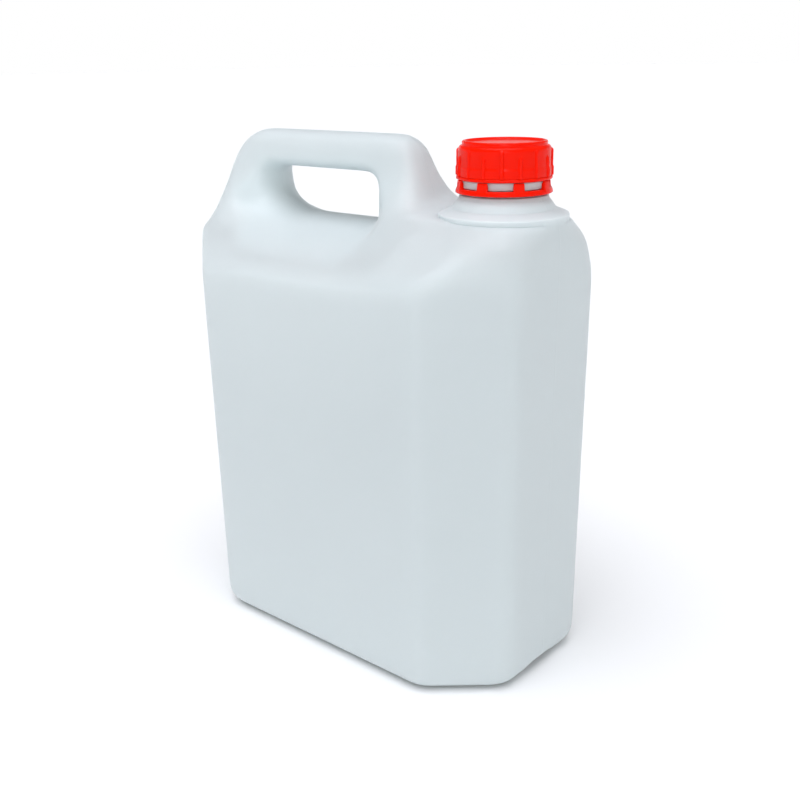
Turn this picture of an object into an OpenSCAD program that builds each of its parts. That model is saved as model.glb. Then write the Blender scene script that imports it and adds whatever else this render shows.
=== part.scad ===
// Five litre jerrycan with a hollow moulded handle and a screw cap.
// The can stands on z = 0 with its neck towards +X and its wide faces towards -Y and +Y.

/* [Can body] */
// Width of the can along the handle
body_w = 216; // [200:1:235]
// Depth of the can between its wide faces
body_d = 127; // [118:1:140]
// Height of the can to the top of the handle
can_h = 269; // [250:0.5:300]
// Corner chamfer at both ends, measured along the width
chamfer_x = 36; // [28:1:42]
// Corner chamfer at both ends, measured along the depth
chamfer_y = 31.5; // [24:0.5:37]
// Radius of the edge between a wide face and a chamfer
broad_edge_r = 14; // [8:1:20]
// Radius of the edge between a chamfer and an end face
end_edge_r = 8; // [5:1:12]
// Radius around the foot
foot_r = 8; // [5:1:11]
// How much each side draws in from the shoulder down to the foot
foot_taper = 2; // [0:0.5:3]
// Thickness of the moulded wall
wall = 1.4; // [1:0.1:2]

/* [Foot channel] */
// Width of the shallow channel across the foot at the mould seam
channel_w = 35; // [24:1:48]
// Depth of that channel
channel_h = 5; // [3:0.5:6]

/* [Shoulder] */
// How far below the handle's top the wide faces turn in to the shoulder
crest_down = 61.5; // [58:0.5:69]
// How far below the handle's top the flat place lies that carries the neck
platform_down = 35.7; // [32:0.1:40]
// How far the shoulder under the neck bulges between the crest and that place
bulge = 2.4; // [0:0.1:3]
// Softness of the turn from wall to shoulder
crest_soft = 7; // [4:1:12]
// How far below the neck end's crest the crest runs under the handle
crest_drop = 3; // [0:0.5:5]
// How far below the handle's top the shoulder bends under the handle
bend_down = 49.5; // [47:0.5:52]
// Half depth of the shoulder at that bend
bend_half = 32.5; // [26:0.5:35]
// How far each side draws in above the bend for each millimetre of height
bend_lean = 0.74; // [0.6:0.01:0.85]

/* [Handle] */
// Depth of the grip, front to back
grip_d = 25.5; // [24:0.5:29]
// Height of the grip above the hand hole
grip_h = 20; // [18:0.5:23]
// Radius along the top edges of the grip
grip_top_r = 9.3; // [7:0.1:9.8]
// Radius of the top corner behind the hand
rear_top_r = 18; // [8:1:20]
// Radius of the top corner above the neck
front_top_r = 9; // [8:1:14]
// Distance from the neck end to the foot of the front leg
leg_in = 70; // [69.5:0.5:73]
// Lean of the front leg for each millimetre of height
leg_lean = 0.4; // [0.3:0.01:0.45]
// Fillet between the front leg and the platform
leg_fillet = 7; // [4:0.5:8]
// Rounding of the front leg towards the neck
leg_edge_r = 8; // [6:0.5:9]
// Rounding of the rear leg towards the rear
rear_edge_r = 9; // [6:0.5:11]
// Lean of the rear leg for each millimetre of height
rear_lean = 0.06; // [0:0.01:0.15]

/* [Hand hole] */
// Distance from the rear end to the hand hole at the mould seam
hole_rear = 32.5; // [29:0.5:40]
// Distance from the neck end to the hand hole at the mould seam
hole_in = 101.5; // [100:0.5:108]
// How far below the handle's top the floor of the hand hole lies at the seam
hole_down = 44; // [42:0.5:46]
// Length of the hole's low rear corner
hole_big_x = 26; // [20:1:30]
// Height of that corner
hole_big_z = 15; // [12:0.5:16]
// Radius of the hole's high corner beside the front leg
hole_mid_r = 12; // [8:0.5:13]
// Radius of its low corner beside the front leg
hole_low_r = 5; // [4:0.5:7]
// Radius of its high rear corner
hole_small_r = 7; // [4:0.5:8]
// How far the hole has widened towards the rear at a depth of 17 mm from the seam
flare_rear = 10; // [6:0.5:12]
// How far it has widened there towards the neck
flare_neck = 8; // [5:0.5:9]
// How far it has widened there under the grip
flare_up = 7; // [4:0.5:8]
// Fall of the hole's floor towards both wide faces for each millimetre
floor_fall = 0.4; // [0.34:0.01:0.44]

/* [Neck] */
// Radius of the plinth under the neck
plinth_r = 30.7; // [28.5:0.1:31.5]
// Distance from the neck end to the edge of the plinth
plinth_in = 0.9; // [0.7:0.1:2.8]
// Height of the plinth's rim above the platform
plinth_h = 1.6; // [1.2:0.1:2.4]
// Rise of the plinth's top towards the neck
plinth_rise = 2.5; // [1.6:0.1:3.4]
// Radius of the foot of the step that the neck stands on
step_r = 24.3; // [23.9:0.1:25]
// Height of that step
step_h = 4.3; // [3.6:0.1:5.2]
// Radius of the collar just below the tamper band
collar_r = 20.8; // [20.4:0.1:21]
// Height of the collar
collar_h = 1.9; // [1.4:0.1:2.2]
// Outer radius of the neck under the thread
neck_r = 17.9; // [17.5:0.1:18]
// Thickness of the neck's wall
neck_wall = 2; // [1.6:0.1:2.4]
// Height of the neck above its collar
neck_h = 20.5; // [20:0.1:22]
// Chamfer on the pouring lip
lip_chamfer = 0.5; // [0.3:0.1:0.8]
// Radius of the bead that holds the tamper band
bead_r = 19.8; // [19.5:0.1:19.9]
// Height of the bead above the collar
bead_z = 3.6; // [3.5:0.1:3.9]
// Height of the bead itself
bead_h = 1.8; // [1.4:0.1:2]

/* [Cap] */
// Outer radius of the cap's skirt
cap_r = 21.8; // [21.6:0.1:22.4]
// Thickness of the skirt
skirt_t = 1.5; // [1.3:0.1:1.7]
// Outer radius of the raised rim on top
rim_r = 19.8; // [19.6:0.1:20]
// Height of that rim above the cap's shoulder
rim_h = 3; // [2.2:0.1:3.4]
// Width of the rim
rim_t = 1.5; // [1.2:0.1:1.8]
// Depth of the dish inside the rim
dish_h = 1; // [0.6:0.1:1.2]
// Thickness of the cap's top plate
plate_t = 1.5; // [1.2:0.1:1.7]
// Height of the coved shoulder below the rim
cove_h = 1.6; // [1.2:0.1:2]
// Height of the bead along the skirt's lower edge
skirt_bead_h = 1.4; // [1:0.1:1.8]
// How far that bead stands out
skirt_bead_out = 0.6; // [0.4:0.1:0.8]
// How far the skirt's lower part is set back
skirt_set = 0.3; // [0.2:0.1:0.5]
// Height of the set back part above the bead
skirt_set_h = 4; // [3:0.5:5]
// Number of long ribs, with a short one between each pair
ribs = 8; // [6:1:10]
// Width of a rib
rib_w = 1.3; // [1:0.1:1.6]
// How far a rib stands out
rib_out = 0.6; // [0.4:0.1:0.7]
// How much lower the short ribs stop
rib_drop = 2.6; // [1.5:0.1:4]
// Turn of the rib pattern about the neck
rib_turn = -13; // [-22:1:22]

/* [Seal] */
// Thickness of the foam wad under the top plate
wad_t = 1.2; // [0.9:0.1:1.3]
// Gap between the wad and its pocket
wad_gap = 0.3; // [0.2:0.05:0.4]
// Gap between the wad and the pouring lip
lip_gap = 0.2; // [0.1:0.05:0.3]

/* [Tamper band] */
// Outer radius of the band at its lower edge
band_r = 22.7; // [22.5:0.1:23]
// Thickness of the band
band_t = 1.5; // [1.3:0.1:1.6]
// Height of the closed lower part
band_h = 3.4; // [3:0.1:3.8]
// Width of a pillar between two windows, in degrees
pillar_angle = 14; // [10:1:18]
// Gap between the pillars and the cap after the bridges are cut
band_gap = 0.3; // [0.2:0.05:0.4]
// Gap between the band and the collar below it
collar_gap = 0.7; // [0.5:0.1:0.9]
// Gap between the catch inside the band and the neck
catch_gap = 0.6; // [0.4:0.1:0.8]
// Height of that catch
catch_h = 1; // [0.8:0.1:1.2]

/* [Hidden] */
cut = 1;
arc_steps = 4;
broad_steps = [0.05, 0.18, 0.32, 0.5, 0.7, 1];
half_w = body_w / 2;
half_d = body_d / 2;
broad_end = 48 - half_w;

// Heights that follow the top of the can, and places that follow its two ends
crest_z = can_h - crest_down;
platform_z = can_h - platform_down;
bend_z = can_h - bend_down;
hole_floor = can_h - hole_down;
hole_ceiling = can_h - grip_h;
leg_x = half_w - leg_in;
hole_x0 = hole_rear - half_w;
hole_x1 = half_w - hole_in;
neck_x = half_w - plinth_in - plinth_r;

// Unit normal of a chamfer, its angle, and its distance from the can's axis
chamfer_l = sqrt(chamfer_x * chamfer_x + chamfer_y * chamfer_y);
chamfer_n = [chamfer_y / chamfer_l, chamfer_x / chamfer_l];
chamfer_a = atan2(chamfer_n[1], chamfer_n[0]);
chamfer_c = chamfer_n[0] * half_w + chamfer_n[1] * (half_d - chamfer_y);

// The end face follows the plinth's edge at the top of the shoulder
end_in = plinth_in + 0.7;
end_turn = 14;
platform_half = plinth_r - 0.5;
shoulder_lean = (half_d - platform_half) / (platform_z - crest_z);
soft_z0 = crest_z - 8;
soft_z1 = platform_z - 11.8;

// Depth of the grip against height, and the softness of the leg's foot and of the shoulder's bend
grip_taper = 0.1;
grip_ref_z = platform_z + 11.7;
grip_soft = 5;
bend_soft = 6;

// The shoulder changes from its form under the handle to its form under the neck between these
blend_x0 = half_w - 104;
blend_x1 = half_w - 56;
rear_crest_z = crest_z - crest_drop;
rear_slope = (half_d - bend_half) / (bend_z - rear_crest_z);
flare_ref = 17;
flare_end = 17.5;
floor_soft = 22;
top_r = min(grip_top_r, grip_d / 2 - grip_taper * (can_h - grip_ref_z) - 1);

plinth_top = platform_z + plinth_h;
step_z = plinth_top + plinth_rise;
collar_z = step_z + step_h;
neck_z = collar_z + collar_h;
lip_z = neck_z + neck_h;
bore_r = neck_r - neck_wall;
step_draw = 1.4;
step_cone = 1.8;
edge_break = 0.6;
plinth_sink = 0.4;

band_z = neck_z + collar_gap;
window_z = band_z + band_h;
cap_z = band_z + band_h + 3.1;
wad_z = lip_z + lip_gap;
plate_z = wad_z + wad_t;
cap_top = plate_z + plate_t + dish_h;
cove_z = cap_top - rim_h;
shoulder_z = cove_z - cove_h;
cap_bore = cap_r - skirt_t;
wad_r = rim_r - 1.4 - wad_gap;
catch_z = neck_z + bead_z - 0.4 - catch_h;
rib_z = cap_z + skirt_bead_h;

// Ramp that is 0 below -k and x above k, with a parabola between, and the smooth larger of two values
function ramp(x, k) = x < -k ? 0 : x > k ? x : (x + k) * (x + k) / (4 * k);
function larger(a, b, k) = b + ramp(a - b, k);
function limit(x) = max(0, min(1, x));
function ease(x) = let (t = limit(x)) t * t * (3 - 2 * t);

// How far a quarter round of radius r has drawn in after a climb of d, on a skin that lies t inside
function round_in(d, r, t) = d <= 0 ? t : r - sqrt(max(0, (r - t) * (r - t) - d * d));

// Draw-in of all sides at height z from the foot's radius and the taper
function foot_in(z, t) =
    round_in(foot_r - z, foot_r, t) + foot_taper * limit((soft_z0 - z) / (soft_z0 - foot_r));

// Half depth of the can at place x and height z: a shoulder with a bend under the handle,
// a straight one under the neck, and the grip's own depth where that is more
function grip_half(z) = grip_d / 2 - grip_taper * (z - grip_ref_z);
function under_handle(z) = larger(
    larger(half_d - rear_slope * ramp(z - rear_crest_z, crest_soft),
        bend_half - bend_lean * max(z - bend_z, -8), bend_soft),
    grip_half(z), grip_soft);
function bulge_at(s) = 4 * bulge * s * (1 - s);
function under_neck(z) = larger(
    half_d - shoulder_lean * ramp(z - crest_z, crest_soft)
    + bulge_at(limit((z - crest_z) / (platform_z - crest_z))), grip_half(z), grip_soft);
function half_depth(x, z, t) =
    let (w = ease((x - blend_x0) / (blend_x1 - blend_x0)))
    under_handle(z) * (1 - w) + under_neck(z) * w
    - foot_in(z, t) - round_in(z - can_h + top_r, top_r, t) + t;

// Distance of the neck end, and of the rear end, from the middle at height z
function end_x(z, t) =
    half_w - foot_in(z, t) - end_in * (1 - sqrt(1 - pow(limit((z - platform_z + end_turn) / end_turn), 2)));
function rear_x(z, t) =
    half_w - foot_in(z, t) - rear_lean * max(0, z - platform_z + end_turn)
    - round_in(z - can_h + rear_top_r, rear_top_r, t) + t;
function leg_end(z, t) =
    let (d = platform_z + leg_fillet - z, r = leg_fillet + t)
    leg_x - leg_lean * (z - platform_z) - t + (d > 0 ? r - sqrt(max(0, r * r - d * d)) : 0)
    - round_in(z - can_h + front_top_r, front_top_r, t) + t;

// Corner radii at the neck end at height z: they open up to the plinth's own round at the platform
function end_round(z, t) =
    end_edge_r + (platform_half - end_edge_r) * ease((z - soft_z0) / (soft_z1 - soft_z0)) - t;
function broad_round(z, t) =
    let (r = end_round(z, t) + t)
    broad_edge_r + (r - broad_edge_r) * ease((z - soft_z0) / (soft_z1 - soft_z0)) - t;

// Corner radii at the rear at height z
function rear_round(z, t) =
    end_edge_r + (rear_edge_r - end_edge_r) * ease((z - soft_z0) / (soft_z1 - soft_z0)) - t;
function rear_broad(z, t) =
    broad_edge_r + (rear_edge_r - broad_edge_r) * ease((z - soft_z0) / (soft_z1 - soft_z0)) - t;

function arc(c, r, a0, a1, n) = [for (i = [0:n]) let (a = a0 + (a1 - a0) * i / n) c + r * [cos(a), sin(a)]];

// Corner of an end as one arc, where there is no chamfer
function plain_corner(x, b, r) = concat(
    arc([x - r, b - r], r, 0, chamfer_a, arc_steps),
    arc([x - r, b - r], r, chamfer_a, 90, arc_steps));

// Corner of an end as two arcs with the chamfer between them
function chamfered_corner(x, b, c, ra, rb) =
    let (
        ay = (c - ra - chamfer_n[0] * (x - ra)) / chamfer_n[1],
        bx = (c - rb - chamfer_n[1] * (b - rb)) / chamfer_n[0])
    b - ra < ay || bx > x - rb ? plain_corner(x, b, min(ra, b - 0.5)) : concat(
        arc([x - ra, ay], ra, 0, chamfer_a, arc_steps),
        arc([bx, b - rb], rb, chamfer_a, 90, arc_steps));

// Corner at height z of the body below the platform, and of a leg above it
function body_corner(x, b, z, t, ra, rb) =
    chamfered_corner(x, b, chamfer_c - foot_in(z, t), min(ra, b - 0.3), min(rb, b - 0.3));
function leg_corner(x, b, r) = plain_corner(x, b, max(0.4, min(r, b - 0.4)));

// Half of the outline at height z, from the neck end round to the rear
function half_outline(z, t, on_leg) =
    let (
        xf = on_leg ? leg_end(z, t) : end_x(z, t),
        xr = rear_x(z, t),
        bf = half_depth(on_leg ? xf - leg_edge_r : half_w - chamfer_x, z, t),
        br = half_depth(-xr, z, t),
        front = on_leg ? leg_corner(xf, bf, leg_edge_r - t)
            : body_corner(xf, bf, z, t, end_round(z, t), broad_round(z, t)),
        rear = on_leg ? leg_corner(xr, br, rear_round(z, t))
            : body_corner(xr, br, z, t, rear_round(z, t), rear_broad(z, t)),
        n = len(rear),
        x0 = on_leg ? front[n - 1][0] : leg_x + 2)
    concat(
        front,
        [for (s = broad_steps) let (x = x0 + (broad_end - x0) * s) [x, half_depth(x, z, t)]],
        [for (i = [n - 1:-1:0]) [-rear[i][0], rear[i][1]]]);

function ring(z, t, on_leg) =
    let (h = half_outline(z, t, on_leg), n = len(h))
    concat([for (p = h) [p[0], p[1], z]], [for (i = [n - 1:-1:0]) [h[i][0], -h[i][1], z]]);

// Heights of the rings: foot, wall and shoulder up to the platform, then the leg and the grip
function body_levels(t) = concat(
    [for (a = [0:22.5:90]) foot_r - (foot_r - t) * cos(a)],
    [soft_z0 - 2],
    [for (s = [0:8]) crest_z - 6 + (platform_z - t - crest_z + 6) * s / 8]);
function leg_levels(t) =
    let (z0 = platform_z - t + 0.6, z1 = platform_z + leg_fillet, z2 = can_h - rear_top_r)
    concat(
        [for (s = [0:3]) z0 + (z1 - z0) * s / 3],
        [for (s = [1:3]) z1 + (z2 - z1) * s / 3],
        [for (a = [18:18:90]) z2 + (rear_top_r - t) * sin(a)]);

// Closed skin over a stack of mirror-symmetric rings with equal numbers of points
module skin(rings) {
    n = len(rings[0]);
    m = len(rings);
    top = (m - 1) * n;
    polyhedron(
        points = [for (r = rings) each r],
        faces = concat(
            [for (i = [0:n / 2 - 2]) [i, i + 1, n - 2 - i, n - 1 - i]],
            [for (i = [0:n / 2 - 2]) [top + n - 1 - i, top + n - 2 - i, top + i + 1, top + i]],
            [for (j = [0:m - 2], i = [0:n - 1])
                [j * n + i, (j + 1) * n + i, (j + 1) * n + (i + 1) % n]],
            [for (j = [0:m - 2], i = [0:n - 1])
                [j * n + i, (j + 1) * n + (i + 1) % n, j * n + (i + 1) % n]]));
}

// Outside of the moulding for t = 0, and its inside for t = wall
module moulding(t) {
    skin(concat(
        [for (z = body_levels(t)) ring(z, t, false)],
        [for (z = leg_levels(t)) ring(z, t, true)]));
}

// Hand hole: a rounded opening that flares from the seam towards both wide faces
function hole_ring(y, t) =
    let (
        u = abs(y),
        f = pow(min(u + 0.8 * t, flare_end) / flare_ref, 2),
        x0 = hole_x0 - flare_rear * f - t,
        x1 = hole_x1 + flare_neck * f + t,
        z0 = hole_floor - floor_fall * (sqrt(u * u + floor_soft * floor_soft) - floor_soft) - t,
        z1 = hole_ceiling + flare_up * f + t,
        bx = hole_big_x + flare_rear * f / 2 + t,
        bz = hole_big_z + t,
        rs = hole_small_r + t,
        rm = hole_mid_r + t,
        rl = hole_low_r + t)
    concat(
        [for (p = arc([x1 - rm, z1 - rm], rm, 0, 90, arc_steps)) [p[0], y, p[1]]],
        [for (p = arc([x0 + rs, z1 - rs], rs, 90, 180, arc_steps)) [p[0], y, p[1]]],
        [for (i = [0:2 * arc_steps])
            let (a = 180 + 45 * i / arc_steps)
            [x0 + bx * (1 + cos(a)), y, z0 + bz * (1 + sin(a))]],
        [for (p = arc([x1 - rl, z0 + rl], rl, 270, 360, arc_steps)) [p[0], y, p[1]]]);

module hand_hole(t) {
    near = [3, 6, 9, 12, 15, 18, 21, 24, 31, half_d + cut];
    ys = concat([for (i = [len(near) - 1:-1:0]) -near[i]], [0], near);
    rings = [for (y = ys) hole_ring(y, t)];
    n = len(rings[0]);
    m = len(rings);
    polyhedron(
        points = [for (r = rings) each r],
        faces = concat(
            [[for (i = [n - 1:-1:0]) i]],
            [[for (i = [0:n - 1]) (m - 1) * n + i]],
            [for (j = [0:m - 2], i = [0:n - 1])
                [j * n + i, (j + 1) * n + (i + 1) % n, (j + 1) * n + i]],
            [for (j = [0:m - 2], i = [0:n - 1])
                [j * n + i, j * n + (i + 1) % n, (j + 1) * n + (i + 1) % n]]));
}

// Channel across the foot, with a soft S-shaped flank on either side
module foot_channel(t) {
    w = channel_w / 2 + t;
    steps = 12;
    translate([-half_w - cut, 0, 0])
        rotate([90, 0, 90])
            linear_extrude(body_w + 2 * cut)
                polygon(concat(
                    [[-w, -cut]],
                    [for (i = [1:steps - 1])
                        let (y = -w + 2 * w * i / steps)
                        [y, t + channel_h * ease(1.6 * (1 - abs(y) / w))]],
                    [[w, -cut]]));
}

// Plinth, step, collar and neck as one turned form
module neck_outside() {
    translate([neck_x, 0, 0])
        rotate_extrude($fn = 96)
            polygon([
                [0, platform_z - plinth_sink],
                [plinth_r, platform_z - plinth_sink],
                [plinth_r, plinth_top - edge_break],
                [plinth_r - edge_break, plinth_top],
                [step_r + edge_break, step_z],
                [step_r, step_z + edge_break],
                [step_r - step_draw, collar_z - step_cone],
                [collar_r + edge_break, collar_z],
                [collar_r, collar_z + edge_break],
                [collar_r, neck_z],
                [neck_r, neck_z],
                [neck_r, neck_z + bead_z],
                [bead_r, neck_z + bead_z],
                [bead_r, neck_z + bead_z + bead_h / 3],
                [neck_r, neck_z + bead_z + bead_h],
                [neck_r, lip_z - lip_chamfer],
                [neck_r - lip_chamfer, lip_z],
                [0, lip_z]]);
}

module neck_inside() {
    translate([neck_x, 0, 0])
        rotate_extrude($fn = 96)
            polygon([
                [0, platform_z - 6],
                [plinth_r - wall - 0.4, platform_z - 6],
                [plinth_r - wall - 0.4, plinth_top - wall - edge_break],
                [step_r - wall, step_z - wall],
                [step_r - step_draw - wall - edge_break, collar_z - step_cone - wall],
                [bore_r, collar_z - wall],
                [bore_r, lip_z + cut],
                [0, lip_z + cut]]);
}

module can_body() {
    color([0.86, 0.9, 0.92]) difference() {
        union() {
            difference() {
                moulding(0);
                hand_hole(0);
                foot_channel(0);
            }
            neck_outside();
        }
        difference() {
            moulding(wall);
            hand_hole(wall);
            foot_channel(wall);
        }
        neck_inside();
    }
}

// One rib on the skirt, from its lower end at the bead to height z1, with a sloped top
module rib(z1) {
    translate([cap_r - skirt_set - 1, rib_w / 2, 0])
        rotate([90, 0, 0])
            linear_extrude(rib_w)
                polygon([
                    [0, rib_z - 0.3],
                    [skirt_set + 1 + rib_out, rib_z - 0.3],
                    [skirt_set + 1 + rib_out, z1 - rib_out],
                    [skirt_set + 1, z1],
                    [0, z1]]);
}

module cap_shell() {
    rotate_extrude($fn = 96)
        polygon(concat(
            [
                [0, plate_z],
                [wad_r + wad_gap, plate_z],
                [wad_r + wad_gap, shoulder_z + 0.5],
                [cap_bore, shoulder_z - 1],
                [cap_bore, cap_z],
                [cap_r + skirt_bead_out - 0.3, cap_z],
                [cap_r + skirt_bead_out, cap_z + 0.3],
                [cap_r + skirt_bead_out, rib_z - 0.3],
                [cap_r + skirt_bead_out - 0.3, rib_z],
                [cap_r - skirt_set, rib_z],
                [cap_r - skirt_set, rib_z + skirt_set_h - skirt_set],
                [cap_r, rib_z + skirt_set_h],
                [cap_r, shoulder_z]],
            [for (a = [22.5:22.5:90])
                [cap_r - (cap_r - rim_r) * sin(a), cove_z - cove_h * cos(a)]],
            [
                [rim_r, cap_top - 0.5],
                [rim_r - 0.5, cap_top],
                [rim_r - rim_t, cap_top],
                [rim_r - rim_t - 0.6, plate_z + plate_t],
                [0, plate_z + plate_t]]));
}

module cap() {
    color([0.86, 0.1, 0.07])
        translate([neck_x, 0, 0]) {
            cap_shell();
            for (i = [0:ribs - 1])
                rotate([0, 0, rib_turn + i * 360 / ribs])
                    rib(shoulder_z);
            for (i = [0:ribs - 1])
                rotate([0, 0, rib_turn + (i + 0.5) * 360 / ribs])
                    rib(shoulder_z - rib_drop);
        }
}

// Band that stays on the neck: a closed ring, the pillars on it and the catch under the bead
module tamper_band() {
    color([0.86, 0.1, 0.07])
        translate([neck_x, 0, 0]) {
            rotate_extrude($fn = 96)
                polygon([
                    [band_r - band_t, band_z],
                    [band_r - 0.4, band_z],
                    [band_r, band_z + 0.4],
                    [band_r - 0.5, window_z],
                    [band_r - band_t - 0.5, window_z],
                    [band_r - band_t - 0.5, catch_z + catch_h],
                    [neck_r + catch_gap, catch_z + catch_h],
                    [neck_r + catch_gap, catch_z + catch_h / 2],
                    [band_r - band_t - 0.3, catch_z - 0.2]]);
            for (i = [0:ribs - 1])
                rotate([0, 0, rib_turn + (i + 0.5) * 360 / ribs - pillar_angle / 2])
                    rotate_extrude(angle = pillar_angle, $fn = 96)
                        polygon([
                            [band_r - band_t - 0.3, window_z - 0.5],
                            [band_r - 0.7, window_z - 0.5],
                            [band_r - 0.7, cap_z - band_gap],
                            [band_r - band_t - 0.3, cap_z - band_gap]]);
        }
}

module seal_liner() {
    color([0.93, 0.93, 0.9])
        translate([neck_x, 0, wad_z])
            cylinder(h = wad_t, r = wad_r, $fn = 96);
}

can_body();
cap();
tamper_band();
seal_liner();
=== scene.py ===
"""Dresses the jerrycan: its soft moulded body, threaded neck, ribbed cap, tamper band and wad."""

import math

import bpy
import numpy as np
from mathutils import Matrix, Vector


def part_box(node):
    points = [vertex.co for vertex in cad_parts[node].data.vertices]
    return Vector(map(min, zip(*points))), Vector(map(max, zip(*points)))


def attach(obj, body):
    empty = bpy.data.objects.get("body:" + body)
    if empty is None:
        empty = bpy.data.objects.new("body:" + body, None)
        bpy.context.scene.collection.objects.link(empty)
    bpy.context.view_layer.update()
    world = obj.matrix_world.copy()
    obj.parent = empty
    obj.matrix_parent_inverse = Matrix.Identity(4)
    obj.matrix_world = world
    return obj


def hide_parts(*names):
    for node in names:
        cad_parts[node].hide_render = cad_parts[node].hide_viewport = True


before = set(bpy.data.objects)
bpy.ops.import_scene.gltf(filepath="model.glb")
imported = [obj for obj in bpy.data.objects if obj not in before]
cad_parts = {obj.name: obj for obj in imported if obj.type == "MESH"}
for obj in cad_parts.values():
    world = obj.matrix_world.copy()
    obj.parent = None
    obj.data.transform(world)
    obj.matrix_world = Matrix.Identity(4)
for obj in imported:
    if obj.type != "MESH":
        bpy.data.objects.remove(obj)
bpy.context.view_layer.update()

bl_info = {
    "name": "Jerrycan",
    "version": (1, 0, 0),
    "blender": (4, 5, 0),
    "location": "3D View > Sidebar > Jerrycan",
    "description": "Makes a blow-moulded jerrycan with a ribbed screw cap",
    "category": "Object",
}

MM = 0.001
LOW, HIGH = (np.array(corner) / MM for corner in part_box("can_body"))
CAP_LOW, CAP_HIGH = (np.array(corner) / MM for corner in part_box("cap"))
NECK_X = float(CAP_LOW[0] + CAP_HIGH[0]) / 2
TURN = 2 * math.pi


def size(name, default, about):
    """One length in millimetres, for a property group."""
    return bpy.props.FloatProperty(name=name, description=about + ", in millimetres", default=default)


class CanSizes(bpy.types.PropertyGroup):
    """Sizes of the moulded can"""

    width: size("Width", float(HIGH[0] - LOW[0]), "Width along the handle")
    depth: size("Depth", float(HIGH[1] - LOW[1]), "Depth between the wide faces")
    height: size("Height", 269.0, "Height to the top of the handle")
    chamfer_x: size("Chamfer along the width", 36.0, "Corner chamfer along the width")
    chamfer_y: size("Chamfer along the depth", 31.5, "Corner chamfer along the depth")
    broad_edge: size("Wide edge", 14.0, "Radius between a wide face and a chamfer")
    end_edge: size("End edge", 14.0, "Radius between a chamfer and an end face")
    foot: size("Foot", 11.0, "Radius round the foot")
    taper: size("Taper", 2.0, "Draw-in of each side from the shoulder to the foot")
    wall: size("Wall", 1.4, "Thickness of the wall")
    channel_w: size("Foot channel width", 35.0, "Width of the channel across the foot")
    channel_h: size("Foot channel depth", 5.0, "Depth of the channel across the foot")
    crest: size("Crest", 207.5, "Height where the wide faces turn in")
    platform: size("Platform", 233.3, "Height of the flat place under the neck")
    bulge: size("Bulge", 2.4, "Bulge of the shoulder under the neck")
    bend: size("Bend", 219.5, "Height of the shoulder's bend under the handle")
    bend_half: size("Bend half depth", 32.5, "Half depth of the shoulder at the bend")
    grip_d: size("Grip depth", 25.5, "Depth of the grip, front to back")
    grip_h: size("Grip height", 20.0, "Height of the grip above the hand hole")
    leg_x: size("Front leg", 38.0, "Neck side of the front leg at the platform")


class NeckSizes(bpy.types.PropertyGroup):
    """Sizes of the plinth, collar and threaded neck"""

    plinth_r: size("Plinth", 30.7, "Radius of the plinth")
    plinth_h: size("Plinth height", 1.6, "Height of the plinth's rim")
    rise: size("Rise", 2.5, "Rise of the plinth towards the neck")
    step_r: size("Step", 24.3, "Radius of the step's foot")
    step_h: size("Step height", 4.3, "Height of the step")
    collar_r: size("Collar", 20.8, "Radius of the collar")
    collar_h: size("Collar height", 1.9, "Height of the collar")
    neck_r: size("Neck", 17.9, "Radius of the neck under its thread")
    neck_wall: size("Neck wall", 2.0, "Thickness of the neck")
    neck_h: size("Neck height", 20.5, "Height of the neck above its collar")
    bead_r: size("Bead", 20.4, "Radius of the bead that holds the band")
    crest_r: size("Thread crest", 19.6, "Radius of the thread's crest")
    pitch: size("Pitch", 4.0, "Rise of the thread for each turn")


class CapSizes(bpy.types.PropertyGroup):
    """Sizes of the screw cap and its tamper band"""

    cap_r: size("Cap", 21.8, "Radius of the skirt")
    skirt: size("Skirt", 1.5, "Thickness of the skirt")
    rim_r: size("Rim", 19.8, "Radius of the raised rim")
    rim_h: size("Rim height", 2.0, "Height of the raised rim")
    rib_w: size("Rib width", 1.3, "Width of a rib")
    rib_out: size("Rib", 0.85, "How far a rib stands out")
    rib_drop: size("Rib drop", 2.3, "How much lower the short ribs stop")
    band_r: size("Band", 22.7, "Radius of the tamper band")
    band_t: size("Band thickness", 1.5, "Thickness of the tamper band")
    ribs: bpy.props.IntProperty(name="Ribs", description="Number of long ribs", default=8)
    rib_turn: bpy.props.FloatProperty(
        name="Rib turn", description="Turn of the ribs about the neck, in degrees", default=-13.0)
    band_turn: bpy.props.FloatProperty(
        name="Band turn", description="Turn of the band about the neck, in degrees", default=-14.3)
    pillar: bpy.props.FloatProperty(
        name="Pillar", description="Width of a pillar of the band, in degrees", default=13.0)


class Finishes(bpy.types.PropertyGroup):
    """Colours of the mouldings"""

    can: bpy.props.FloatVectorProperty(
        name="Can", description="Colour of the can", subtype="COLOR", size=3,
        default=(0.60, 0.667, 0.68))
    cap: bpy.props.FloatVectorProperty(
        name="Cap", description="Colour of the cap and band", subtype="COLOR", size=3,
        default=(0.90, 0.009, 0.0))
    wad: bpy.props.FloatVectorProperty(
        name="Wad", description="Colour of the foam wad", subtype="COLOR", size=3,
        default=(0.88, 0.88, 0.84))
    floor: bpy.props.FloatVectorProperty(
        name="Floor", description="Colour of the floor", subtype="COLOR", size=3,
        default=(0.93, 0.93, 0.93))


def ramp(x, k):
    """0 below -k and x above k, with a parabola between."""
    return np.where(x < -k, 0, np.where(x > k, x, (x + k) ** 2 / (4 * k)))


def larger(a, b, k):
    """The larger of two values, rounded over 2k where they are alike."""
    return b + ramp(a - b, k)


def ease(x):
    """Smooth step from 0 to 1."""
    x = np.clip(x, 0, 1)
    return x * x * (3 - 2 * x)


def round_in(d, r, t):
    """How far a quarter round of radius r has drawn in after a climb of d, on a skin that lies t inside."""
    return np.where(d <= 0, t, r - np.sqrt(np.maximum(0, (r - t) ** 2 - np.maximum(d, 0) ** 2)))


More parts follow.
